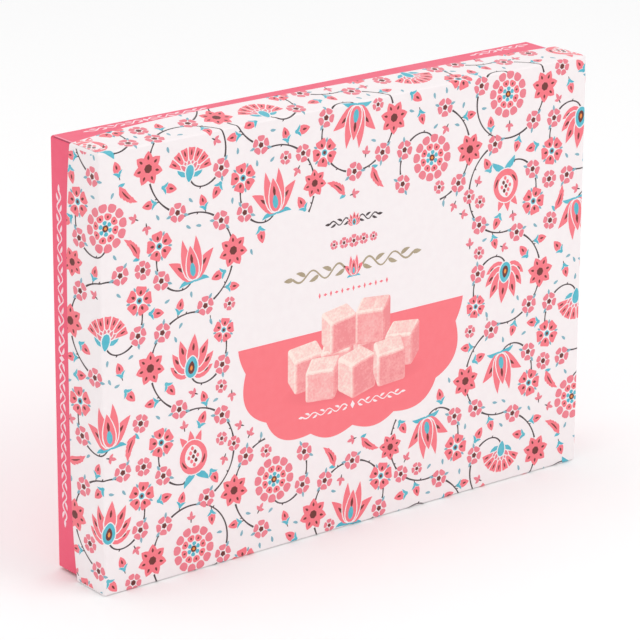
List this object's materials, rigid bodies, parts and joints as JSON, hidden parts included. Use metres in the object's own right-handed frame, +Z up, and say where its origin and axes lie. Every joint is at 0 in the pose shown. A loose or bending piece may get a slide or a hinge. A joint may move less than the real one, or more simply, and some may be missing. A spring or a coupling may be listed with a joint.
{
  "type": "lidded gift box of sweets",
  "caption": "Shallow rectangular gift box for sweets, shut and standing on one long edge: a thin board lid with slightly spread walls, pushed over a deeper closed base.",
  "frame": {"origin": "middle of the box's footprint, on the surface that it stands on", "axes": "+X along the long width, to the right as seen from in front of the lid; -Y out of the lid's face; +Z up"},
  "size_m": [0.2444, 0.0344, 0.1777],
  "materials": {
    "lid_board": "printed folding board, satin lacquer",
    "base_board": "coral printed folding board, satin lacquer"
  },
  "bodies": {
    "root": {"lid": "lid_board", "base": "base_board"}
  },
  "joints": []
}
